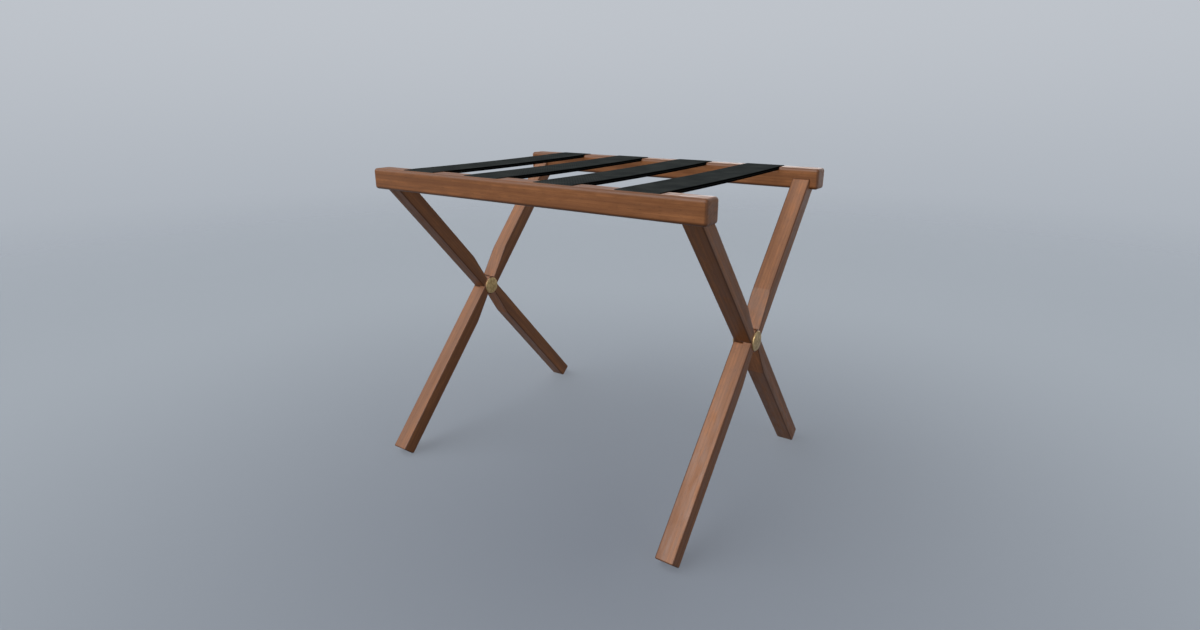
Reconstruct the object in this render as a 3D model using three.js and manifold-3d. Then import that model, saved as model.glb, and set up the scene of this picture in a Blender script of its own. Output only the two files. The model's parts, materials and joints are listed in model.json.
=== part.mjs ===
import * as THREE from "three";
import { mergeVertices } from "three/addons/utils/BufferGeometryUtils.js";
import Module from "manifold-3d";

const wasm = await Module();
wasm.setup();

// A folding luggage rack in millimetres. Z is up from the floor, X runs along the rails
// and the front is towards minus Y. Each frame is a rail and its two legs, which stand on
// the floor at the other side. The legs of the two frames cross flush, in one thickness:
// each turns on a round hub of half its thickness, in a recess of the other leg, and tapers
// on the side that folds against that leg.

// Rails
const RAIL_LENGTH = 600;
const RAIL_WIDTH = 33;
const RAIL_HEIGHT = 33;
const RAIL_EDGE_RADIUS = 5;
const RAIL_END_RADIUS = 4;
const RAIL_SPACING = 396;
const RAIL_TOP = 505;

// Legs
const LEG_THICKNESS = 29;
const LEG_DEPTH = 25.4;
const LEG_EDGE_RADIUS = 2;
const LEG_END_RADIUS = 1.5;
const LEG_INSET = 12.3;
const PIVOT_HEIGHT = 265.4;
const HEEL_CUT = 2.5;
const SHUT_DEGREES = 18;

// Dowels that join each leg head to its rail
const DOWEL_DIAMETER = 8;
const DOWEL_SPACING = 13;
const DOWEL_IN_LEG = 22;
const DOWEL_IN_RAIL = 26;
const DOWEL_CHAMFER = 1;

// Pivot rivets and washers
const DISC_DIAMETER = 31;
const DISC_RIM = 2.2;
const DISC_CROWN = 0.6;
const DISC_EDGE = 0.8;
const BARREL_DIAMETER = 9;
const PIN_DIAMETER = 5;
const PIN_LENGTH = 20;
const WASHER_MARGIN = 1.7;
const WASHER_THICKNESS = 1;

// Straps, each of two plies
const STRAP_COUNT = 4;
const STRAP_WIDTH = 67;
const STRAP_FROM_RAIL_END = 66.5;
const STRAP_FROM_RAIL_FACE = 7;
const PLY_THICKNESS = 3;
const STRAP_PROUD = 1;
const STRAP_EDGE_RADIUS = 1.2;
const STRAP_END_RADIUS = 0.6;
const LIP_RADIUS = 25;
const LIP_RUN = 10.5;

// Tacks that hold each strap end
const TACK_HEAD_DIAMETER = 9;
const TACK_HEAD_THICKNESS = 1;
const TACK_SHANK_DIAMETER = 2.4;
const TACK_SHANK_LENGTH = 13;
const TACK_POINT = 3;
const TACK_SPACING = 36;
const TACK_FROM_END = 9;

// Clearances
const SEAT_GAP = 0.3;
const RUNNING_GAP = 0.15;
const HOLE_GAP = 0.25;
const SHOULDER_GAP = 0.4;
const END_GAP = 0.5;

// Smoothness of the curves
const RAIL_STEPS = 4;
const LEG_STEPS = 2;
const STRAP_STEPS = 2;
const TURNED_STEPS = 48;
const HOLE_STEPS = 20;
const SMALL_STEPS = 10;
const CROWN_STEPS = 4;
const HUB_STEPS = 12;
const LIP_STEPS = 6;
const WELD = 1e-4;

// Sizes and places that follow from those above
const RAIL_CENTRE_Y = RAIL_SPACING / 2;
const RAIL_INNER_Y = RAIL_CENTRE_Y - RAIL_WIDTH / 2;
const RAIL_OUTER_Y = RAIL_CENTRE_Y + RAIL_WIDTH / 2;
const RAIL_RISE = RAIL_TOP - RAIL_HEIGHT / 2 - PIVOT_HEIGHT;
const LEG_LEAN = Math.atan2(RAIL_CENTRE_Y, RAIL_RISE);
const HEAD_REACH = Math.hypot(RAIL_CENTRE_Y, RAIL_RISE);
const HEEL_DROP = (LEG_DEPTH / 2) * Math.sin(LEG_LEAN);
const FOOT_REACH = (PIVOT_HEIGHT + HEEL_CUT - HEEL_DROP) / Math.cos(LEG_LEAN);
const MOUTH_REACH =
  RAIL_INNER_Y * Math.sin(LEG_LEAN) + (RAIL_RISE - RAIL_HEIGHT / 2) * Math.cos(LEG_LEAN);
const SHUT_ANGLE = THREE.MathUtils.degToRad(SHUT_DEGREES);
const HUB_RADIUS = LEG_DEPTH / 2 / Math.cos(LEG_LEAN) + SHOULDER_GAP;
const LAP_GAP = WASHER_THICKNESS + 2 * RUNNING_GAP;
const WASHER_DIAMETER = LEG_DEPTH - 2 * WASHER_MARGIN;
const STRAP_THICKNESS = 2 * PLY_THICKNESS;
const STRAP_BOTTOM = RAIL_TOP + STRAP_PROUD - STRAP_THICKNESS;
const STRAP_END_Y = RAIL_OUTER_Y - STRAP_FROM_RAIL_FACE;
const STRAP_SPREAD = RAIL_LENGTH - 2 * STRAP_FROM_RAIL_END - STRAP_WIDTH;
const TACK_Y = STRAP_END_Y - TACK_FROM_END;

// Materials
const wood = new THREE.MeshStandardMaterial({ color: 0x835a3e, roughness: 0.45, metalness: 0 });
const beech = new THREE.MeshStandardMaterial({ color: 0xc9a877, roughness: 0.7, metalness: 0 });
const brass = new THREE.MeshStandardMaterial({ color: 0xa88f55, roughness: 0.35, metalness: 1 });
const nylon = new THREE.MeshStandardMaterial({ color: 0x2a2a2a, roughness: 0.5, metalness: 0 });
const webbing = new THREE.MeshStandardMaterial({ color: 0x2f3333, roughness: 0.9, metalness: 0 });
const steel = new THREE.MeshStandardMaterial({ color: 0x8c8f92, roughness: 0.4, metalness: 1 });

// Solids and places

// Turns a closed geometry into a solid that can be joined and cut.
function solidOf(geometry) {
  geometry.deleteAttribute("normal");
  geometry.deleteAttribute("uv");
  const merged = mergeVertices(geometry, WELD);
  const index = merged.index.array;
  const faces = [];
  for (let i = 0; i < index.length; i += 3) {
    const corners = [index[i], index[i + 1], index[i + 2]];
    if (new Set(corners).size === corners.length) faces.push(...corners);
  }
  return new wasm.Manifold(
    new wasm.Mesh({
      numProp: 3,
      vertProperties: merged.attributes.position.array,
      triVerts: new Uint32Array(faces),
    }),
  );
}

// A place on the rack: a group moved and turned inside its parent.
function placeIn(parent, position, turn = [0, 0, 0]) {
  const place = new THREE.Group();
  place.position.set(...position);
  place.rotation.set(...turn);
  parent.add(place);
  place.updateWorldMatrix(true, false);
  return place;
}

// Cuts a solid that lies in one place by a geometry that was made in another place.
function cut(solid, place, geometry, geometryPlace) {
  const carry = place.matrixWorld.clone().invert().multiply(geometryPlace.matrixWorld);
  return solid.subtract(solidOf(geometry.applyMatrix4(carry)));
}

// Puts a finished solid in its place as one named piece.
function addPiece(place, name, solid, material) {
  const raw = solid.getMesh();
  const indexed = new THREE.BufferGeometry();
  indexed.setAttribute("position", new THREE.BufferAttribute(raw.vertProperties, raw.numProp));
  indexed.setIndex(new THREE.BufferAttribute(raw.triVerts, 1));
  const faceted = indexed.toNonIndexed();
  faceted.computeVertexNormals();
  const mesh = new THREE.Mesh(faceted, material);
  mesh.name = name;
  place.add(mesh);
}

// A rectangle with rounded corners.
function roundedRectangle(width, height, radius) {
  const x = width / 2;
  const y = height / 2;
  const r = Math.max(radius, 0);
  const shape = new THREE.Shape();
  shape.moveTo(r - x, -y);
  shape.lineTo(x - r, -y);
  if (r > 0) shape.absarc(x - r, r - y, r, -Math.PI / 2, 0, false);
  shape.lineTo(x, y - r);
  if (r > 0) shape.absarc(x - r, y - r, r, 0, Math.PI / 2, false);
  shape.lineTo(r - x, y);
  if (r > 0) shape.absarc(r - x, y - r, r, Math.PI / 2, Math.PI, false);
  shape.lineTo(-x, r - y);
  if (r > 0) shape.absarc(r - x, r - y, r, Math.PI, 1.5 * Math.PI, false);
  return shape;
}

// A bar along Z from z = from to z = to, with rounded long edges and rounded ends.
function roundedBar(width, height, from, to, edgeRadius, endRadius, steps) {
  const shape = roundedRectangle(
    width - 2 * endRadius,
    height - 2 * endRadius,
    edgeRadius - endRadius,
  );
  const bar = new THREE.ExtrudeGeometry(shape, {
    depth: to - from - 2 * endRadius,
    curveSegments: steps,
    bevelEnabled: true,
    bevelThickness: endRadius,
    bevelSize: endRadius,
    bevelSegments: steps,
  });
  bar.translate(0, 0, from + endRadius);
  return bar;
}

// A body turned round Z from a profile of [radius, height] pairs that runs upwards.
function turned(profile, steps) {
  const points = profile.map(([radius, height]) => new THREE.Vector2(radius, height));
  const body = new THREE.LatheGeometry(points, steps);
  body.rotateX(Math.PI / 2);
  return body;
}

// A plain cylinder along Z from z = from to z = to.
function cylinder(diameter, from, to, steps) {
  const r = diameter / 2;
  return turned([[0, from], [r, from], [r, to], [0, to]], steps);
}

// Carries profile width to Y, profile height to Z and length to X.
const ALONG_X = new THREE.Matrix4().makeBasis(
  new THREE.Vector3(0, 1, 0),
  new THREE.Vector3(0, 0, 1),
  new THREE.Vector3(1, 0, 0),
);

// Carries profile width to X, profile height to Z and length to minus Y.
const ALONG_Y = new THREE.Matrix4().makeBasis(
  new THREE.Vector3(1, 0, 0),
  new THREE.Vector3(0, 0, 1),
  new THREE.Vector3(0, -1, 0),
);

// The scene graph: the places of all pieces, from the rack down to dowels and tacks

const rack = new THREE.Group();
rack.name = "luggage_rack";

const SIDES = [
  { name: "left", sign: -1 },
  { name: "right", sign: 1 },
];

// back is the side of the rail in Y, and lap is the half of the leg that its hub lies in: 1
// for the half towards plus X. The two frames are one pattern, turned end for end.
const FRAMES = [
  { rail: "front", back: -1, lap: -1 },
  { rail: "back", back: 1, lap: 1 },
];

const PAIR = [
  { name: "a", sign: -1 },
  { name: "b", sign: 1 },
];

function legCentreX(side) {
  return side.sign * (RAIL_LENGTH / 2 - LEG_INSET - LEG_THICKNESS / 2);
}

// A leg stands upright in its own place, with its pivot at the origin.
function legOf(frame, framePlace, side) {
  const name = frame.rail + "_rail_leg_" + side.name;
  const place = placeIn(framePlace, [legCentreX(side), 0, 0], [-frame.back * LEG_LEAN, 0, 0]);
  const dowels = PAIR.map((one) => ({
    name: name + "_dowel_" + one.name,
    place: placeIn(place, [(one.sign * DOWEL_SPACING) / 2, 0, MOUTH_REACH]),
  }));
  return { name, place, dowels };
}

const frames = FRAMES.map((frame) => {
  const place = placeIn(rack, [0, 0, PIVOT_HEIGHT]);
  const railPlace = placeIn(place, [0, frame.back * RAIL_CENTRE_Y, RAIL_RISE]);
  const legs = SIDES.map((side) => legOf(frame, place, side));
  return { ...frame, railPlace, legs };
});

const pivots = SIDES.map((side) => {
  const place = placeIn(rack, [legCentreX(side), 0, PIVOT_HEIGHT]);
  const outward = [0, (side.sign * Math.PI) / 2, 0];
  const inward = [0, (-side.sign * Math.PI) / 2, 0];
  const face = (side.sign * LEG_THICKNESS) / 2;
  return {
    name: side.name,
    barrelPlace: placeIn(place, [face, 0, 0], outward),
    pinPlace: placeIn(place, [-face, 0, 0], inward),
    washerPlace: placeIn(place, [0, 0, 0], outward),
  };
});

// A strap's place is the middle of its underside, and a tack's is the top of the lower ply.
const straps = Array.from({ length: STRAP_COUNT }, (_, i) => {
  const name = "strap_" + (i + 1);
  const centre = STRAP_SPREAD * (i / (STRAP_COUNT - 1)) - STRAP_SPREAD / 2;
  const place = placeIn(rack, [centre, 0, STRAP_BOTTOM]);
  const tacksAt = (frame) =>
    PAIR.map((one) => ({
      name: name + "_" + frame.rail + "_tack_" + one.name,
      rail: frame.rail,
      place: placeIn(place, [(one.sign * TACK_SPACING) / 2, frame.back * TACK_Y, PLY_THICKNESS]),
    }));
  return { name, place, tacks: frames.flatMap(tacksAt) };
});

// Rails: rounded bars, with housings for the straps and holes for dowels and tacks

function railBar(grow) {
  const half = RAIL_LENGTH / 2 + grow;
  const bar = roundedBar(
    RAIL_WIDTH + 2 * grow,
    RAIL_HEIGHT + 2 * grow,
    -half,
    half,
    RAIL_EDGE_RADIUS + grow,
    RAIL_END_RADIUS + grow,
    RAIL_STEPS,
  );
  return bar.applyMatrix4(ALONG_X);
}

// The stopped housing for one strap end, in the strap's place. Its floor falls away in an
// arc towards the inner face, so that the strap turns down over a round lip at the fold.
function housing(frame) {
  const stop = STRAP_END_Y + END_GAP;
  const above = STRAP_THICKNESS + RAIL_HEIGHT;
  const beyond = RAIL_INNER_Y - RAIL_WIDTH;
  const outline = [[stop, above], [stop, -SEAT_GAP]];
  for (let i = 0; i <= LIP_STEPS; i += 1) {
    const run = (LIP_RUN * i) / LIP_STEPS;
    const drop = LIP_RADIUS - Math.sqrt(LIP_RADIUS ** 2 - run ** 2);
    outline.push([RAIL_INNER_Y + LIP_RUN - run, -SEAT_GAP - drop]);
  }
  const [, lowest] = outline[outline.length - 1];
  outline.push([beyond, lowest], [beyond, above]);
  const shape = new THREE.Shape(outline.map(([y, z]) => new THREE.Vector2(frame.back * y, z)));
  const width = STRAP_WIDTH + 2 * SEAT_GAP;
  const space = new THREE.ExtrudeGeometry(shape, { depth: width, bevelEnabled: false });
  space.translate(0, 0, -width / 2);
  return space.applyMatrix4(ALONG_X);
}

function dowelHole() {
  const from = -DOWEL_IN_LEG - END_GAP;
  const to = DOWEL_IN_RAIL + END_GAP;
  return cylinder(DOWEL_DIAMETER + 2 * HOLE_GAP, from, to, HOLE_STEPS);
}

function tackHole() {
  const from = -TACK_SHANK_LENGTH - END_GAP;
  return cylinder(TACK_SHANK_DIAMETER + 2 * HOLE_GAP, from, HOLE_GAP, SMALL_STEPS);
}

function railSolid(frame) {
  let rail = solidOf(railBar(0));
  for (const strap of straps) {
    rail = cut(rail, frame.railPlace, housing(frame), strap.place);
    for (const tack of strap.tacks) {
      if (tack.rail === frame.rail) rail = cut(rail, frame.railPlace, tackHole(), tack.place);
    }
  }
  for (const leg of frame.legs) {
    for (const dowel of leg.dowels) rail = cut(rail, frame.railPlace, dowelHole(), dowel.place);
  }
  return rail;
}

for (const frame of frames) {
  addPiece(frame.railPlace, frame.rail + "_rail", railSolid(frame), wood);
}

// Legs: straight bars whose heads are cut to a bird's mouth that seats on the lower inner
// edge of the rail, whose square feet lose a small heel to stand flat on the floor, and
// which cross on round hubs

function pivotHole() {
  const hole = cylinder(
    BARREL_DIAMETER + 2 * RUNNING_GAP,
    -LEG_THICKNESS,
    LEG_THICKNESS,
    HOLE_STEPS,
  );
  return hole.applyMatrix4(ALONG_X);
}

function underFloor() {
  const side = 2 * RAIL_LENGTH;
  const block = new THREE.BoxGeometry(side, side, PIVOT_HEIGHT);
  return block.translate(0, 0, -PIVOT_HEIGHT / 2);
}

// The recess for the other leg's hub: a round space in the half of the thickness that this
// leg leaves free.
function hubRecess(frame) {
  const inner = (frame.lap * LAP_GAP) / 2;
  const outer = -frame.lap * LEG_THICKNESS;
  const recess = cylinder(
    2 * (HUB_RADIUS + SHOULDER_GAP),
    Math.min(inner, outer),
    Math.max(inner, outer),
    TURNED_STEPS,
  );
  return recess.applyMatrix4(ALONG_X);
}

// What an upright leg leaves free for an arm of the other leg: all that lies outside the hub
// and beyond the middle line between the two legs when they are shut. arm is 1 for the arms
// above the pivot and -1 for those below.
function armSpace(frame, arm) {
  const turn = SHUT_ANGLE / 2;
  const along = new THREE.Vector2(-frame.back * Math.sin(turn), Math.cos(turn));
  const across = new THREE.Vector2(-frame.back * Math.cos(turn), -Math.sin(turn));
  const at = (run, offset) =>
    along.clone().multiplyScalar(arm * run).addScaledVector(across, arm * offset);
  const reach = LEG_DEPTH / Math.sin(turn);
  const near = -SHOULDER_GAP / 2;
  const outline = [at(reach, near), at(reach, LEG_DEPTH), at(0, LEG_DEPTH)];
  const last = Math.asin(near / HUB_RADIUS);
  for (let i = 0; i <= HUB_STEPS; i += 1) {
    const angle = Math.PI / 2 + (last - Math.PI / 2) * (i / HUB_STEPS);
    outline.push(at(HUB_RADIUS * Math.cos(angle), HUB_RADIUS * Math.sin(angle)));
  }
  const space = new THREE.ExtrudeGeometry(new THREE.Shape(outline), {
    depth: 2 * LEG_THICKNESS,
    bevelEnabled: false,
  });
  space.translate(0, 0, -LEG_THICKNESS);
  return space.applyMatrix4(ALONG_X);
}

function legSolid(frame, leg) {
  const bar = roundedBar(
    LEG_THICKNESS,
    LEG_DEPTH,
    -FOOT_REACH,
    HEAD_REACH,
    LEG_EDGE_RADIUS,
    LEG_END_RADIUS,
    LEG_STEPS,
  );
  let solid = solidOf(bar);
  solid = cut(solid, leg.place, railBar(SEAT_GAP), frame.railPlace);
  solid = cut(solid, leg.place, underFloor(), rack);
  solid = cut(solid, leg.place, hubRecess(frame), leg.place);
  solid = cut(solid, leg.place, armSpace(frame, 1), leg.place);
  solid = cut(solid, leg.place, armSpace(frame, -1), leg.place);
  solid = cut(solid, leg.place, pivotHole(), leg.place);
  for (const dowel of leg.dowels) solid = cut(solid, leg.place, dowelHole(), dowel.place);
  return solid;
}

function dowelSolid() {
  const r = DOWEL_DIAMETER / 2;
  const profile = [
    [0, -DOWEL_IN_LEG],
    [r - DOWEL_CHAMFER, -DOWEL_IN_LEG],
    [r, DOWEL_CHAMFER - DOWEL_IN_LEG],
    [r, DOWEL_IN_RAIL - DOWEL_CHAMFER],
    [r - DOWEL_CHAMFER, DOWEL_IN_RAIL],
    [0, DOWEL_IN_RAIL],
  ];
  return solidOf(turned(profile, HOLE_STEPS));
}

for (const frame of frames) {
  for (const leg of frame.legs) {
    addPiece(leg.place, leg.name, legSolid(frame, leg), wood);
    for (const dowel of leg.dowels) addPiece(dowel.place, dowel.name, dowelSolid(), beech);
  }
}

// Pivot rivets: a barrel half from the outer face and a pin half from the inner face, each
// with a low crowned disc for a head, and a washer between the legs

// The profile of a disc head that seats at height zero, from its seat up to its crown.
function discProfile() {
  const r = DISC_DIAMETER / 2;
  const profile = [[r, SEAT_GAP], [r, DISC_RIM - DISC_EDGE]];
  for (let i = 0; i <= CROWN_STEPS; i += 1) {
    const share = 1 - i / CROWN_STEPS;
    profile.push([(r - DISC_EDGE) * share, DISC_RIM + DISC_CROWN * (1 - share ** 2)]);
  }
  return profile;
}

function barrelSolid() {
  const r = BARREL_DIAMETER / 2;
  const bore = PIN_DIAMETER / 2 + HOLE_GAP;
  const end = END_GAP - LEG_THICKNESS;
  const bottom = PIN_LENGTH + END_GAP - LEG_THICKNESS;
  const shank = [[0, bottom], [bore, bottom], [bore, end], [r, end], [r, SEAT_GAP]];
  return solidOf(turned([...shank, ...discProfile()], TURNED_STEPS));
}

function pinSolid() {
  const r = PIN_DIAMETER / 2;
  const shank = [[0, -PIN_LENGTH], [r, -PIN_LENGTH], [r, SEAT_GAP]];
  return solidOf(turned([...shank, ...discProfile()], TURNED_STEPS));
}

function washerSolid() {
  const inner = BARREL_DIAMETER / 2 + RUNNING_GAP;
  const outer = WASHER_DIAMETER / 2;
  const half = WASHER_THICKNESS / 2;
  const profile = [[inner, -half], [outer, -half], [outer, half], [inner, half], [inner, -half]];
  return solidOf(turned(profile, HOLE_STEPS));
}

for (const pivot of pivots) {
  addPiece(pivot.barrelPlace, "pivot_barrel_" + pivot.name, barrelSolid(), brass);
  addPiece(pivot.pinPlace, "pivot_pin_" + pivot.name, pinSolid(), brass);
  addPiece(pivot.washerPlace, "pivot_washer_" + pivot.name, washerSolid(), nylon);
}

// Straps: doubled webbing pulled flat between the rails, with its tacks between the plies

// The space that a tack head takes up above the lower ply.
function tackHeadSpace() {
  const top = TACK_HEAD_THICKNESS + 2 * HOLE_GAP;
  return cylinder(TACK_HEAD_DIAMETER + 2 * HOLE_GAP, 0, top, SMALL_STEPS);
}

function tackSolid() {
  const head = TACK_HEAD_DIAMETER / 2;
  const shank = TACK_SHANK_DIAMETER / 2;
  const top = HOLE_GAP + TACK_HEAD_THICKNESS;
  const profile = [
    [0, -TACK_SHANK_LENGTH],
    [shank, TACK_POINT - TACK_SHANK_LENGTH],
    [shank, HOLE_GAP],
    [head, HOLE_GAP],
    [head, top],
    [0, top],
  ];
  return solidOf(turned(profile, SMALL_STEPS));
}

function strapSolid(strap) {
  const bar = roundedBar(
    STRAP_WIDTH,
    STRAP_THICKNESS,
    -STRAP_END_Y,
    STRAP_END_Y,
    STRAP_EDGE_RADIUS,
    STRAP_END_RADIUS,
    STRAP_STEPS,
  );
  bar.applyMatrix4(ALONG_Y);
  bar.translate(0, 0, STRAP_THICKNESS / 2);
  let solid = solidOf(bar);
  for (const tack of strap.tacks) {
    solid = cut(solid, strap.place, tackHole(), tack.place);
    solid = cut(solid, strap.place, tackHeadSpace(), tack.place);
  }
  return solid;
}

for (const strap of straps) {
  addPiece(strap.place, strap.name, strapSolid(strap), webbing);
  for (const tack of strap.tacks) addPiece(tack.place, tack.name, tackSolid(), steel);
}

export default rack;
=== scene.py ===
import json
import math

import bpy
import numpy as np
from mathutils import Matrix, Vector


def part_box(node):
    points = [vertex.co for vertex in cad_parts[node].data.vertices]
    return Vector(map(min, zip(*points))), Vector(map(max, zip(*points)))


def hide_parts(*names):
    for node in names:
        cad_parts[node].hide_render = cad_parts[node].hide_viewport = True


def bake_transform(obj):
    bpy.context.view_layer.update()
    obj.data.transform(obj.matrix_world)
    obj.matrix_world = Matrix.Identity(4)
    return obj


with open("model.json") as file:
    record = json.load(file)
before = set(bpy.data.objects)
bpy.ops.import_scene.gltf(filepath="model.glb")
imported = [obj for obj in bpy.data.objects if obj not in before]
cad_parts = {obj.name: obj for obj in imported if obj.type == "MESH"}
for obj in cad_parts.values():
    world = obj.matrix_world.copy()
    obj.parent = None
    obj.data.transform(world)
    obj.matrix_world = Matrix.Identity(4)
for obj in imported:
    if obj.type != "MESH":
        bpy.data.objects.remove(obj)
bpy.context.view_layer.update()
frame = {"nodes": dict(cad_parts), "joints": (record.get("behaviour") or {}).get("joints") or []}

# A folding luggage rack: stained wooden rails on crossed legs, brass discs on the pivots and four
# black webbing straps. Metres, in the frame of the solids: X along the rails, Y to the back, Z up.

MM = 0.001

# Camera, at the photograph's viewing angle
PHOTO_SIZE = (1200, 630)
CAMERA_AZIMUTH = math.radians(35.0)
CAMERA_ELEVATION = math.radians(18.09)
CAMERA_DISTANCE = 1.1807
CAMERA_AIM = Vector((0.0, 0.0, 0.2525))
VERTICAL_VIEW = math.radians(50.0)
SENSOR_WIDTH = 36.0

# Wood. The pattern of a piece is moved by these amounts from its place in the rack: away from the
# heart of the tree, over to another plank, and along the grain from one rail or leg to the next. The
# rails come from plank 0. The rounded edges get painted shade, at its full depth at an edge shade
# of 1.
HEART_AWAY = 70 * MM
NEXT_PLANK = 130 * MM
NEXT_RAIL = 630 * MM
NEXT_LEG = 70 * MM
FIRST_LEG_PLANK = 2
RAIL_EDGE_SHADE = 0.5
LEG_EDGE_SHADE = 0.9

# Straps
STRAPS = ("strap_1", "strap_2", "strap_3", "strap_4")
STRAP_SAG = 1.2 * MM
STRAP_END_ROUND = 1.0 * MM
STRAP_TOP_POINTS = 15
STRAP_EDGE_POINTS = 9
STRAP_END_POINTS = 5
STRAP_RINGS = 161

# Light. A lamp's share is of the light that shows a colour as it is written. Only the key casts a
# shadow, and the sky shines from the same place without one.
KEY_FROM = Vector((-0.53, -0.45, 0.72))
KEY_SHARE = 0.16
KEY_SPREAD = math.radians(62)
SKY_SHARE = 0.34
FILL_FROM = Vector((-0.14, -0.75, 0.645))
FILL_SHARE = 0.77
SIDE_FROM = Vector((0.96, -0.19, 0.19))
SIDE_SHARE = 0.22
BACK_FROM = Vector((-0.21, 0.98, 0.01))
BACK_SHARE = 0.4
WIDE_SPREAD = math.radians(40)
AMBIENT = 0.12
AIR_COLOUR = "#eef2f8"

# Stage. The floor carries painted shade, darkest at a point in front of the rack. It gets paler
# over a range of metres from there, which starts below 0 to soften the middle, and fades into the
# backdrop over a range of metres from the origin. The backdrop gets lighter over a range of the
# view's upward part.
FLOOR_HALF = 8.0
FLOOR_CENTRE = (0.172, -0.246, 0.0)
FLOOR_TONE_RANGE = (-0.4, 1.5)
FLOOR_FADE_RANGE = (1.4, 4.2)
FLOOR_NEAR, FLOOR_FAR, FLOOR_BOUNCE = "#777d87", "#a1a8b0", "#54595f"
BACKDROP_RISE = (-0.25, 0.15)
BACKDROP_LOW, BACKDROP_HIGH = "#a9b0b9", "#bfc4cb"

# Places taken from the solids
fold = frame["joints"][0]
pivot = Vector(fold["pos_m"])
rail_low, rail_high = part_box("back_rail")
rail_centre = (rail_low + rail_high) / 2
LEG_LEAN = math.atan2(rail_centre.y, rail_centre.z - pivot.z)


def aim_camera():
    """The camera stands at an azimuth and an elevation round the aim point and looks at it."""
    level = math.cos(CAMERA_ELEVATION)
    away = Vector((
        math.sin(CAMERA_AZIMUTH) * level,
        -math.cos(CAMERA_AZIMUTH) * level,
        math.sin(CAMERA_ELEVATION),
    ))
    data = bpy.data.cameras.new("photo_camera")
    data.sensor_fit = "HORIZONTAL"
    data.sensor_width = SENSOR_WIDTH
    width, height = PHOTO_SIZE
    data.lens = SENSOR_WIDTH * height / (2 * width * math.tan(VERTICAL_VIEW / 2))
    camera = bpy.data.objects.new("photo_camera", data)
    camera.location = CAMERA_AIM + CAMERA_DISTANCE * away
    camera.rotation_euler = away.to_track_quat("Z", "Y").to_euler()
    bpy.context.scene.collection.objects.link(camera)
    bpy.context.scene.camera = camera


aim_camera()


# Materials


def linear(hex_colour):
    """Turns an sRGB hex colour into linear red, green, blue and alpha."""
    parts = np.array([int(hex_colour[i:i + 2], 16) for i in (1, 3, 5)]) / 255
    light = np.where(parts <= 0.04045, parts / 12.92, ((parts + 0.055) / 1.055) ** 2.4)
    return (*light.tolist(), 1.0)


def node(tree, kind, inputs, **settings):
    """Adds a node with its settings. An input takes a value, or a link from a socket."""
    made = tree.nodes.new(kind)
    for name, value in settings.items():
        setattr(made, name, value)
    for name, value in inputs.items():
        if isinstance(value, bpy.types.NodeSocket):
            tree.links.new(value, made.inputs[name])
        else:
            made.inputs[name].default_value = value
    return made


# The Mix node's colour sockets by number
FACTOR, COLOUR_A, COLOUR_B, MIXED = 0, 6, 7, 2

# The Wave texture's phase at a distance of 1 and a scale of 1. A ring takes tau of it.
WAVE_PHASE = 20

# Rays that the Bevel node sends out to find an edge
BEVEL_SAMPLES = 8


def new_material(name):
    """An empty node material and its tree."""
    material = bpy.data.materials.new(name)
    material.use_nodes = True
    material.node_tree.nodes.clear()
    return material, material.node_tree


def tinted(tree, colour, mask, tint, between, depth=1.0):
    """Lays a tint over a colour, from none to its full depth as the mask goes between two values.

    Gives the new colour and the share of tint in it.
    """
    share = node(
        tree,
        "ShaderNodeMapRange",
        {"Value": mask, "From Min": between[0], "From Max": between[1], "To Max": depth},
        interpolation_type="SMOOTHSTEP",
    )
    mixed = node(
        tree,
        "ShaderNodeMix",
        {FACTOR: share.outputs[0], COLOUR_A: colour, COLOUR_B: tint},
        data_type="RGBA",
    )
    return mixed.outputs[MIXED], share.outputs[0]


def along_the_grain(tree, grain, width, length, detail):
    """A cloudy mask whose spots are drawn out along the grain, which runs along Z."""
    drawn_out = node(
        tree,
        "ShaderNodeMapping",
        {"Vector": grain, "Scale": (1 / width, 1 / width, 1 / length)},
    )
    spots = node(
        tree,
        "ShaderNodeTexNoise",
        {"Vector": drawn_out.outputs[0], "Scale": 1.0, "Detail": detail},
    )
    return spots.outputs["Fac"]


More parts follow.
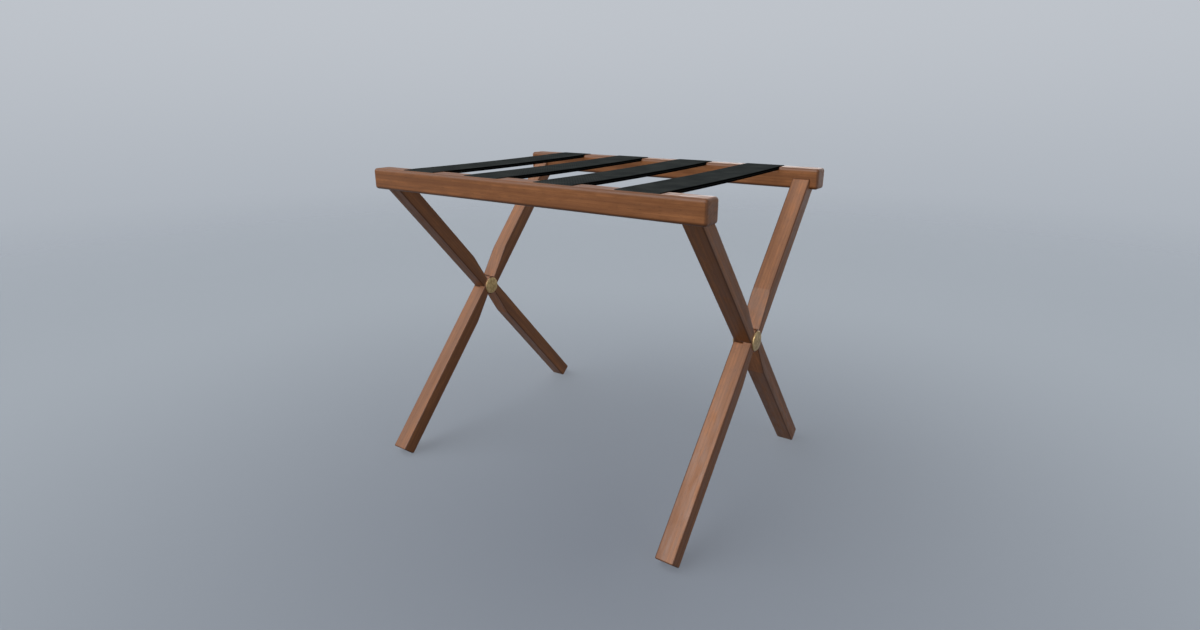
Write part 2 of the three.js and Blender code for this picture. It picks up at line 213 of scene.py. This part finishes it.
def satin_walnut_stained_wood(name, grain_turn, plank, edge_shade):
    """Planed hardwood, stained walnut brown, wiped and sprayed with a satin lacquer.

    grain_turn brings the length of the piece to Z, plank moves the pattern to where in the tree
    the piece was cut, and edge_shade is how much painted shade darkens its edges, from 0 to 1.
    """
    # The eye sees long soft streaks and thin growth lines along each piece, a mottled figure that
    # breaks up the low sheen, and short dark pores. The rounded edges are darkened by painted
    # shade. Pores are drawn about twice as coarse as they are, so that they show.
    streak_width, streak_length = 9 * MM, 320 * MM
    mottle_width, mottle_length = 6 * MM, 26 * MM
    fibre_width, fibre_length = 1.1 * MM, 60 * MM
    pore_width, pore_length = 0.8 * MM, 9 * MM
    growth_line, growth_drift = 4.5 * MM, 0.06
    edge_radius = 2.4 * MM
    pale, dark = linear("#8c5a34"), linear("#6b4224")
    line_colour, fibre_colour = linear("#5d3617"), linear("#683c1a")
    pore_colour, edge_shade_colour = linear("#3b200d"), linear("#482813")
    material, tree = new_material(name)
    place = node(tree, "ShaderNodeTexCoord", {})
    turned = node(
        tree,
        "ShaderNodeMapping",
        {"Vector": place.outputs["Object"], "Rotation": grain_turn, "Location": plank},
    )
    grain = turned.outputs[0]
    streaks = along_the_grain(tree, grain, streak_width, streak_length, detail=4.0)
    mottle = along_the_grain(tree, grain, mottle_width, mottle_length, detail=3.0)
    fibres = along_the_grain(tree, grain, fibre_width, fibre_length, detail=2.0)
    pores = along_the_grain(tree, grain, pore_width, pore_length, detail=1.0)

    # Rings round the heart of the tree, which wander much less along the grain than across it
    slow = node(
        tree,
        "ShaderNodeMapping",
        {"Vector": grain, "Scale": (1.0, 1.0, growth_drift)},
    )
    growth = node(
        tree,
        "ShaderNodeTexWave",
        {
            "Vector": slow.outputs[0],
            "Scale": math.tau / (WAVE_PHASE * growth_line),
            "Distortion": 2.2,
            "Detail": 3.0,
            "Detail Scale": 0.8,
        },
        wave_type="RINGS",
        rings_direction="Z",
        wave_profile="SAW",
    )

    # Squared up to the piece, the parts of a face's normal add up to 1, and to the root of 2 on an
    # edge
    rounded = node(tree, "ShaderNodeBevel", {"Radius": edge_radius}, samples=BEVEL_SAMPLES)
    facing = node(
        tree,
        "ShaderNodeVectorTransform",
        {0: rounded.outputs[0]},
        vector_type="NORMAL",
        convert_from="WORLD",
        convert_to="OBJECT",
    )
    squared_up = node(
        tree,
        "ShaderNodeMapping",
        {"Vector": facing.outputs[0], "Rotation": grain_turn},
        vector_type="VECTOR",
    )
    parts = node(tree, "ShaderNodeVectorMath", {0: squared_up.outputs[0]}, operation="ABSOLUTE")
    total = node(
        tree,
        "ShaderNodeVectorMath",
        {0: parts.outputs[0], 1: (1.0, 1.0, 1.0)},
        operation="DOT_PRODUCT",
    )
    edges = total.outputs["Value"]

    colour, _ = tinted(tree, dark, streaks, pale, between=(0.3, 0.7))
    colour, _ = tinted(tree, colour, mottle, dark, between=(0.36, 0.68), depth=0.55)
    lines = growth.outputs["Fac"]
    colour, _ = tinted(tree, colour, lines, line_colour, between=(0.45, 1.0), depth=0.35)
    colour, _ = tinted(tree, colour, fibres, fibre_colour, between=(0.42, 0.74), depth=0.4)
    colour, pore_share = tinted(tree, colour, pores, pore_colour, between=(0.62, 0.74), depth=0.45)
    # Painted shade: every rounded edge is darkened towards the edge shade colour
    colour, _ = tinted(tree, colour, edges, edge_shade_colour, between=(1.18, 1.36), depth=edge_shade)
    roughness = node(
        tree,
        "ShaderNodeMapRange",
        {"Value": mottle, "From Min": 0.3, "From Max": 0.7, "To Min": 0.56, "To Max": 0.36},
    )
    height = node(tree, "ShaderNodeMath", {0: fibres, 1: pore_share}, operation="SUBTRACT")
    relief = node(
        tree,
        "ShaderNodeBump",
        {
            "Height": height.outputs[0],
            "Normal": rounded.outputs[0],
            "Strength": 0.15,
            "Distance": 0.15 * MM,
        },
    )
    shader = node(
        tree,
        "ShaderNodeBsdfPrincipled",
        {
            "Base Color": colour,
            "Roughness": roughness.outputs[0],
            "Normal": relief.outputs[0],
            "Specular IOR Level": 0.34,
            "IOR": 1.5,
        },
    )
    node(tree, "ShaderNodeOutputMaterial", {"Surface": shader.outputs[0]})
    return material


def turned_aged_brass(name, centre):
    """Brass turned on a lathe and dulled with age.

    centre is a point on the axis of the disc, which runs along X.
    """
    # The eye sees a warm olive yellow, faint turning rings round the centre and cloudy tarnish. A
    # painted highlight lays a bright line along the rim.
    turning_ring = 1.1 * MM
    cloud = 6 * MM
    rim_radius = 0.7 * MM
    bright, dull, wear_and_highlight = linear("#c8aa78"), linear("#a2865a"), linear("#e9d5a8")
    material, tree = new_material(name)
    place = node(tree, "ShaderNodeTexCoord", {})
    centred = node(
        tree,
        "ShaderNodeMapping",
        {"Vector": place.outputs["Object"], "Location": [-part for part in centre]},
    )
    rings = node(
        tree,
        "ShaderNodeTexWave",
        {
            "Vector": centred.outputs[0],
            "Scale": math.tau / (WAVE_PHASE * turning_ring),
            "Distortion": 0.5,
        },
        wave_type="RINGS",
        rings_direction="X",
    )
    clouds = node(
        tree,
        "ShaderNodeTexNoise",
        {"Vector": place.outputs["Object"], "Scale": 1 / cloud, "Detail": 4.0},
    )

    # The rounded normal leaves the flat one near the rim
    rounded = node(tree, "ShaderNodeBevel", {"Radius": rim_radius}, samples=BEVEL_SAMPLES)
    straight = node(tree, "ShaderNodeNewGeometry", {})
    match = node(
        tree,
        "ShaderNodeVectorMath",
        {0: rounded.outputs[0], 1: straight.outputs["True Normal"]},
        operation="DOT_PRODUCT",
    )

    colour, tarnish = tinted(tree, bright, clouds.outputs["Fac"], dull, between=(0.35, 0.68))
    # Painted highlight: a pale line all round the rim, where the rounded normal leaves the flat one
    colour, _ = tinted(tree, colour, match.outputs["Value"], wear_and_highlight, between=(0.99, 0.9))
    roughness = node(tree, "ShaderNodeMapRange", {"Value": tarnish, "To Min": 0.3, "To Max": 0.46})
    relief = node(
        tree,
        "ShaderNodeBump",
        {
            "Height": rings.outputs["Fac"],
            "Normal": rounded.outputs[0],
            "Strength": 0.12,
            "Distance": 0.05 * MM,
        },
    )
    shader = node(
        tree,
        "ShaderNodeBsdfPrincipled",
        {
            "Base Color": colour,
            "Metallic": 1.0,
            "Roughness": roughness.outputs[0],
            "Normal": relief.outputs[0],
        },
    )
    node(tree, "ShaderNodeOutputMaterial", {"Surface": shader.outputs[0]})
    return material


def woven_black_webbing(name):
    """Doubled polyester webbing, woven flat with a rib along each warp yarn and dyed black."""
    # The eye sees a matt charcoal band with a fine even weave and a grey bloom where it has been
    # rubbed. Its sides are darkened to near black with painted shade. The yarns are drawn twice as
    # wide as they are, so that they show.
    warp_yarn, weft_yarn = 2.4 * MM, 3.0 * MM
    bloom_size = 45 * MM
    rub_on_yarns = 0.16
    black, worn, side_shade_black = linear("#26292a"), linear("#373a39"), linear("#070707")
    material, tree = new_material(name)
    flat = node(tree, "ShaderNodeUVMap", {}, uv_map="webbing")
    yarn_space = node(
        tree,
        "ShaderNodeMapping",
        {"Vector": flat.outputs[0], "Scale": (math.pi / warp_yarn, math.pi / weft_yarn, 1.0)},
    )
    along = node(tree, "ShaderNodeSeparateXYZ", {0: yarn_space.outputs[0]})
    warp = node(tree, "ShaderNodeMath", {0: along.outputs["X"]}, operation="SINE")
    weft = node(tree, "ShaderNodeMath", {0: along.outputs["Y"]}, operation="SINE")
    weave = node(
        tree,
        "ShaderNodeMath",
        {0: warp.outputs[0], 1: weft.outputs[0]},
        operation="MULTIPLY",
    )
    bloom = node(
        tree,
        "ShaderNodeTexNoise",
        {"Vector": flat.outputs[0], "Scale": 1 / bloom_size, "Detail": 5.0, "Roughness": 0.65},
    )
    # Wear on the webbing: the rubbed tops of the yarns and the grey bloom
    wear_and_highlight = node(
        tree,
        "ShaderNodeMath",
        {0: weave.outputs[0], 1: rub_on_yarns, 2: bloom.outputs["Fac"]},
        operation="MULTIPLY_ADD",
    )
    place = node(tree, "ShaderNodeTexCoord", {})
    side = node(tree, "ShaderNodeSeparateXYZ", {0: place.outputs["Normal"]})
    upright = node(tree, "ShaderNodeMath", {0: side.outputs["X"]}, operation="ABSOLUTE")
    colour, _ = tinted(tree, black, wear_and_highlight.outputs[0], worn, between=(0.25, 0.75))
    # Painted shade: the upright sides of the strap are darkened to near black
    colour, _ = tinted(tree, colour, upright.outputs[0], side_shade_black, between=(0.3, 0.85))
    relief = node(
        tree,
        "ShaderNodeBump",
        {"Height": weave.outputs[0], "Strength": 0.25, "Distance": 0.25 * MM},
    )
    shader = node(
        tree,
        "ShaderNodeBsdfPrincipled",
        {
            "Base Color": colour,
            "Roughness": 0.9,
            "Specular IOR Level": 0.0,
            "Normal": relief.outputs[0],
            "IOR": 1.45,
        },
    )
    node(tree, "ShaderNodeOutputMaterial", {"Surface": shader.outputs[0]})
    return material


def moulded_nylon(name):
    """Black nylon, injection moulded."""
    # The eye sees a dark grey with a faint bloom from the mould.
    bloom_size = 3 * MM
    material, tree = new_material(name)
    place = node(tree, "ShaderNodeTexCoord", {})
    bloom = node(
        tree,
        "ShaderNodeTexNoise",
        {"Vector": place.outputs["Object"], "Scale": 1 / bloom_size, "Detail": 3.0},
    )
    colour = node(
        tree,
        "ShaderNodeMix",
        {FACTOR: bloom.outputs["Fac"], COLOUR_A: linear("#222222"), COLOUR_B: linear("#303030")},
        data_type="RGBA",
    )
    roughness = node(
        tree,
        "ShaderNodeMapRange",
        {"Value": bloom.outputs["Fac"], "To Min": 0.4, "To Max": 0.55},
    )
    shader = node(
        tree,
        "ShaderNodeBsdfPrincipled",
        {"Base Color": colour.outputs[MIXED], "Roughness": roughness.outputs[0], "IOR": 1.53},
    )
    node(tree, "ShaderNodeOutputMaterial", {"Surface": shader.outputs[0]})
    return material


def turned_beech(name):
    """Bare beech, turned to a dowel."""
    # The eye sees pale tan wood with short darker flecks.
    fleck = 2 * MM
    material, tree = new_material(name)
    place = node(tree, "ShaderNodeTexCoord", {})
    flecks = node(
        tree,
        "ShaderNodeTexNoise",
        {"Vector": place.outputs["Object"], "Scale": 1 / fleck, "Detail": 2.0},
    )
    colour = node(
        tree,
        "ShaderNodeMix",
        {FACTOR: flecks.outputs["Fac"], COLOUR_A: linear("#d4b488"), COLOUR_B: linear("#bb9664")},
        data_type="RGBA",
    )
    relief = node(
        tree,
        "ShaderNodeBump",
        {"Height": flecks.outputs["Fac"], "Strength": 0.1, "Distance": 0.1 * MM},
    )
    shader = node(
        tree,
        "ShaderNodeBsdfPrincipled",
        {
            "Base Color": colour.outputs[MIXED],
            "Roughness": 0.7,
            "Normal": relief.outputs[0],
            "IOR": 1.5,
        },
    )
    node(tree, "ShaderNodeOutputMaterial", {"Surface": shader.outputs[0]})
    return material


def drawn_steel(name):
    """Bright steel, drawn to wire and headed into tacks."""
    # The eye sees a plain grey metal, scuffed duller in spots.
    scuff = 1.5 * MM
    material, tree = new_material(name)
    place = node(tree, "ShaderNodeTexCoord", {})
    scuffs = node(
        tree,
        "ShaderNodeTexNoise",
        {"Vector": place.outputs["Object"], "Scale": 1 / scuff, "Detail": 3.0},
    )
    colour = node(
        tree,
        "ShaderNodeMix",
        {FACTOR: scuffs.outputs["Fac"], COLOUR_A: linear("#9da0a3"), COLOUR_B: linear("#7b7e81")},
        data_type="RGBA",
    )
    roughness = node(
        tree,
        "ShaderNodeMapRange",
        {"Value": scuffs.outputs["Fac"], "To Min": 0.28, "To Max": 0.45},
    )
    shader = node(
        tree,
        "ShaderNodeBsdfPrincipled",
        {"Base Color": colour.outputs[MIXED], "Metallic": 1.0, "Roughness": roughness.outputs[0]},
    )
    node(tree, "ShaderNodeOutputMaterial", {"Surface": shader.outputs[0]})
    return material


# Finishes of the solids


def dress(node_name, material):
    """Gives a solid of the frame its finish."""
    slots = frame["nodes"][node_name].data.materials
    slots.clear()
    slots.append(material)


def dress_in_wood(node_name, grain_turn, plank, edge_shade):
    """Gives a rail or a leg wood of its own, so that no two show the same streaks."""
    wood = satin_walnut_stained_wood("stained_wood_" + node_name, grain_turn, plank, edge_shade)
    dress(node_name, wood)


along_rail = (0.0, -math.pi / 2, 0.0)
for index, rail in enumerate(("front_rail", "back_rail")):
    dress_in_wood(rail, along_rail, (HEART_AWAY, 0.0, NEXT_RAIL * index), RAIL_EDGE_SHADE)
    along_leg = (LEG_LEAN if rail == "back_rail" else -LEG_LEAN, 0.0, 0.0)
    leg_plank = NEXT_PLANK * (FIRST_LEG_PLANK + index)
    for place, side in enumerate(("left", "right")):
        plank = (HEART_AWAY, leg_plank, NEXT_LEG * place)
        dress_in_wood(rail + "_leg_" + side, along_leg, plank, LEG_EDGE_SHADE)

for side in ("left", "right"):
    for half in ("barrel", "pin"):
        rivet = "pivot_" + half + "_" + side
        low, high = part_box(rivet)
        dress(rivet, turned_aged_brass("brass_" + half + "_" + side, (low + high) / 2))

nylon = moulded_nylon("moulded_nylon")
beech = turned_beech("turned_beech")
steel = drawn_steel("drawn_steel")
for name in frame["nodes"]:
    if "washer" in name:
        dress(name, nylon)
    if "dowel" in name:
        dress(name, beech)
    if "tack" in name:
        dress(name, steel)


# Straps


def strap_outline(half_width, ply):
    """The outline across a doubled strap, as X and Z round its middle, and the way round so far.

    Each ply has a squared half-round edge: X falls back by one radius times 1 less the root of the
    cosine, Z goes with the sine. The two plies lie on each other, so a groove runs between them.
    The points of the flat faces crowd towards the edges, as the sine of an even parameter.
    """
    radius = ply / 2
    flat = (half_width - radius) * np.sin(np.linspace(-1, 1, STRAP_TOP_POINTS) * np.pi / 2)
    turn = np.linspace(np.pi / 2, -np.pi / 2, STRAP_EDGE_POINTS)[1:]
    edge_x = half_width - radius + radius * np.sqrt(np.abs(np.cos(turn)))
    edge_z = radius * np.sin(turn)
    right_x = np.concatenate([edge_x, edge_x])[:-1]
    right_z = np.concatenate([radius + edge_z, edge_z - radius])[:-1]
    top_z = np.full(flat.size, ply)
    x = np.concatenate([flat, right_x, flat[::-1], -right_x])
    z = np.concatenate([top_z, right_z, -top_z, -right_z])
    steps = np.hypot(np.diff(x, append=x[0]), np.diff(z, append=z[0]))
    return x, z, np.concatenate([[0.0], np.cumsum(steps)])


def webbing_strap(name, material):
    """A taut strap, closed all round: the outline across it is carried along Y from rail to rail.

    Near an end the outline shrinks by a quarter circle, which rounds the cut, and between the rails
    it sags as a shallow parabola. The straps are cut from one roll, so the weave runs on from each
    to the next.
    """
    low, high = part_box(name)
    centre = (low + high) / 2
    half_length = (high.y - low.y) / 2
    rail_inside = rail_low.y
    x, z, around = strap_outline((high.x - low.x) / 2, (high.z - low.z) / 2)
    near = np.linspace(-half_length, STRAP_END_ROUND - half_length, STRAP_END_POINTS)
    middle = np.linspace(near[-1], -near[-1], STRAP_RINGS)
    y = np.concatenate([near, middle[1:-1], -near[::-1]])
    to_end = np.clip(half_length - np.abs(y), 0, STRAP_END_ROUND)
    shrink = STRAP_END_ROUND - np.sqrt(STRAP_END_ROUND ** 2 - (STRAP_END_ROUND - to_end) ** 2)
    sag = STRAP_SAG * np.clip(1 - (y / rail_inside) ** 2, 0, None)
    grid = np.empty((y.size, x.size, 3))
    grid[:, :, 0] = centre.x + x - np.sign(x) * shrink[:, None]
    grid[:, :, 1] = y[:, None]
    flattened = np.sign(z) * np.minimum(np.abs(z), shrink[:, None])
    grid[:, :, 2] = centre.z + z - flattened - sag[:, None]

    ring, point = np.meshgrid(np.arange(y.size - 1), np.arange(x.size), indexing="ij")
    after = (point + 1) % x.size
    quads = np.stack([
        ring * x.size + point,
        ring * x.size + after,
        (ring + 1) * x.size + after,
        (ring + 1) * x.size + point,
    ], axis=-1).reshape(-1, 4)
    first = np.arange(x.size)[::-1]
    last = np.arange(x.size) + (y.size - 1) * x.size
    faces = quads.tolist() + [first.tolist(), last.tolist()]
    mesh = bpy.data.meshes.new("webbing_" + name)
    mesh.from_pydata(grid.reshape(-1, 3).tolist(), [], faces)

    # The weave lies flat: across is the way round the outline, along is the place on the roll
    this_side, next_side = around[point], around[point + 1]
    across = np.stack([this_side, next_side, next_side, this_side], axis=-1)
    roll = y + 2 * half_length * STRAPS.index(name)
    this_ring, next_ring = roll[ring], roll[ring + 1]
    along = np.stack([this_ring, this_ring, next_ring, next_ring], axis=-1)
    caps = np.stack([np.concatenate([x[::-1], x]), np.repeat(roll[[0, -1]], x.size)], axis=-1)
    weave = np.concatenate([np.stack([across, along], axis=-1).reshape(-1, 2), caps])
    mesh.uv_layers.new(name="webbing").data.foreach_set("uv", weave.astype(np.float32).ravel())
    mesh.polygons.foreach_set("use_smooth", np.ones(len(mesh.polygons), dtype=bool))
    mesh.materials.append(material)

    strap = bpy.data.objects.new("webbing_" + name, mesh)
    bpy.context.scene.collection.objects.link(strap)
    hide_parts(name)
    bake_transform(strap)


webbing = woven_black_webbing("woven_black_webbing")
for name in STRAPS:
    webbing_strap(name, webbing)


# Stage


def seen_directly(tree):
    """1 for rays from the camera, from a sheen or through a clear surface, and 0 for soft light."""
    path = node(tree, "ShaderNodeLightPath", {})
    straight = node(
        tree,
        "ShaderNodeMath",
        {0: path.outputs["Is Camera Ray"], 1: path.outputs["Is Glossy Ray"]},
        operation="MAXIMUM",
    )
    seen = node(
        tree,
        "ShaderNodeMath",
        {0: straight.outputs[0], 1: path.outputs["Is Transmission Ray"]},
        operation="MAXIMUM",
    )
    return seen.outputs[0]


def pale_floor():
    """A wide flat floor that turns into the backdrop with its distance from the rack.

    It throws less soft light back up at the rack than its own tone would.
    """
    corners = FLOOR_HALF * np.array([(-1, -1, 0), (1, -1, 0), (1, 1, 0), (-1, 1, 0)])
    mesh = bpy.data.meshes.new("floor")
    mesh.from_pydata(corners.tolist(), [], [(0, 1, 2, 3)])
    material, tree = new_material("pale_floor")
    place = node(tree, "ShaderNodeTexCoord", {})
    from_rack = node(tree, "ShaderNodeVectorMath", {0: place.outputs["Object"]}, operation="LENGTH")
    fade = node(
        tree,
        "ShaderNodeMapRange",
        {
            "Value": from_rack.outputs["Value"],
            "From Min": FLOOR_FADE_RANGE[0],
            "From Max": FLOOR_FADE_RANGE[1],
        },
        interpolation_type="SMOOTHSTEP",
    )
    from_centre = node(
        tree,
        "ShaderNodeVectorMath",
        {0: place.outputs["Object"], 1: FLOOR_CENTRE},
        operation="DISTANCE",
    )
    distance = from_centre.outputs["Value"]
    near, far = linear(FLOOR_NEAR), linear(FLOOR_FAR)
    # Painted shade: the floor darkens towards FLOOR_CENTRE, in front of the rack
    tone, _ = tinted(tree, near, distance, far, between=FLOOR_TONE_RANGE)
    colour = node(
        tree,
        "ShaderNodeMix",
        {FACTOR: seen_directly(tree), COLOUR_A: linear(FLOOR_BOUNCE), COLOUR_B: tone},
        data_type="RGBA",
    )
    matt = node(tree, "ShaderNodeBsdfDiffuse", {"Color": colour.outputs[MIXED]})
    open_air = node(tree, "ShaderNodeBsdfTransparent", {})
    surface = node(
        tree,
        "ShaderNodeMixShader",
        {0: fade.outputs[0], 1: matt.outputs[0], 2: open_air.outputs[0]},
    )
    node(tree, "ShaderNodeOutputMaterial", {"Surface": surface.outputs[0]})
    mesh.materials.append(material)
    floor = bpy.data.objects.new("floor", mesh)
    bpy.context.scene.collection.objects.link(floor)


def studio_air():
    """Even soft light from all round, and a pale backdrop behind the rack, lighter upwards."""
    world = bpy.data.worlds.new("studio")
    world.use_nodes = True
    bpy.context.scene.world = world
    tree = world.node_tree
    tree.nodes.clear()
    place = node(tree, "ShaderNodeTexCoord", {})
    direction = node(tree, "ShaderNodeSeparateXYZ", {0: place.outputs["Generated"]})
    upward = direction.outputs["Z"]
    low, high = linear(BACKDROP_LOW), linear(BACKDROP_HIGH)
    colour, _ = tinted(tree, low, upward, high, between=BACKDROP_RISE)
    backdrop = node(tree, "ShaderNodeBackground", {"Color": colour, "Strength": 1.0})
    soft = node(tree, "ShaderNodeBackground", {"Color": linear(AIR_COLOUR), "Strength": AMBIENT})
    air = node(
        tree,
        "ShaderNodeMixShader",
        {0: seen_directly(tree), 1: soft.outputs[0], 2: backdrop.outputs[0]},
    )
    node(tree, "ShaderNodeOutputWorld", {"Surface": air.outputs[0]})


def soft_lamp(name, from_direction, share, spread, casts_shadow):
    """A wide soft light from far off. At a share of 1 a face turned to it shows its own colour."""
    data = bpy.data.lights.new(name, "SUN")
    data.energy = share * math.pi
    data.angle = spread
    data.use_shadow = casts_shadow
    lamp = bpy.data.objects.new(name, data)
    lamp.rotation_euler = from_direction.to_track_quat("Z", "Y").to_euler()
    bpy.context.scene.collection.objects.link(lamp)


pale_floor()
studio_air()
soft_lamp("key", KEY_FROM, KEY_SHARE, KEY_SPREAD, True)
soft_lamp("sky", KEY_FROM, SKY_SHARE, KEY_SPREAD, False)
soft_lamp("fill", FILL_FROM, FILL_SHARE, WIDE_SPREAD, False)
soft_lamp("side", SIDE_FROM, SIDE_SHARE, WIDE_SPREAD, False)
soft_lamp("back", BACK_FROM, BACK_SHARE, WIDE_SPREAD, False)
bpy.context.scene.view_settings.view_transform = "Standard"
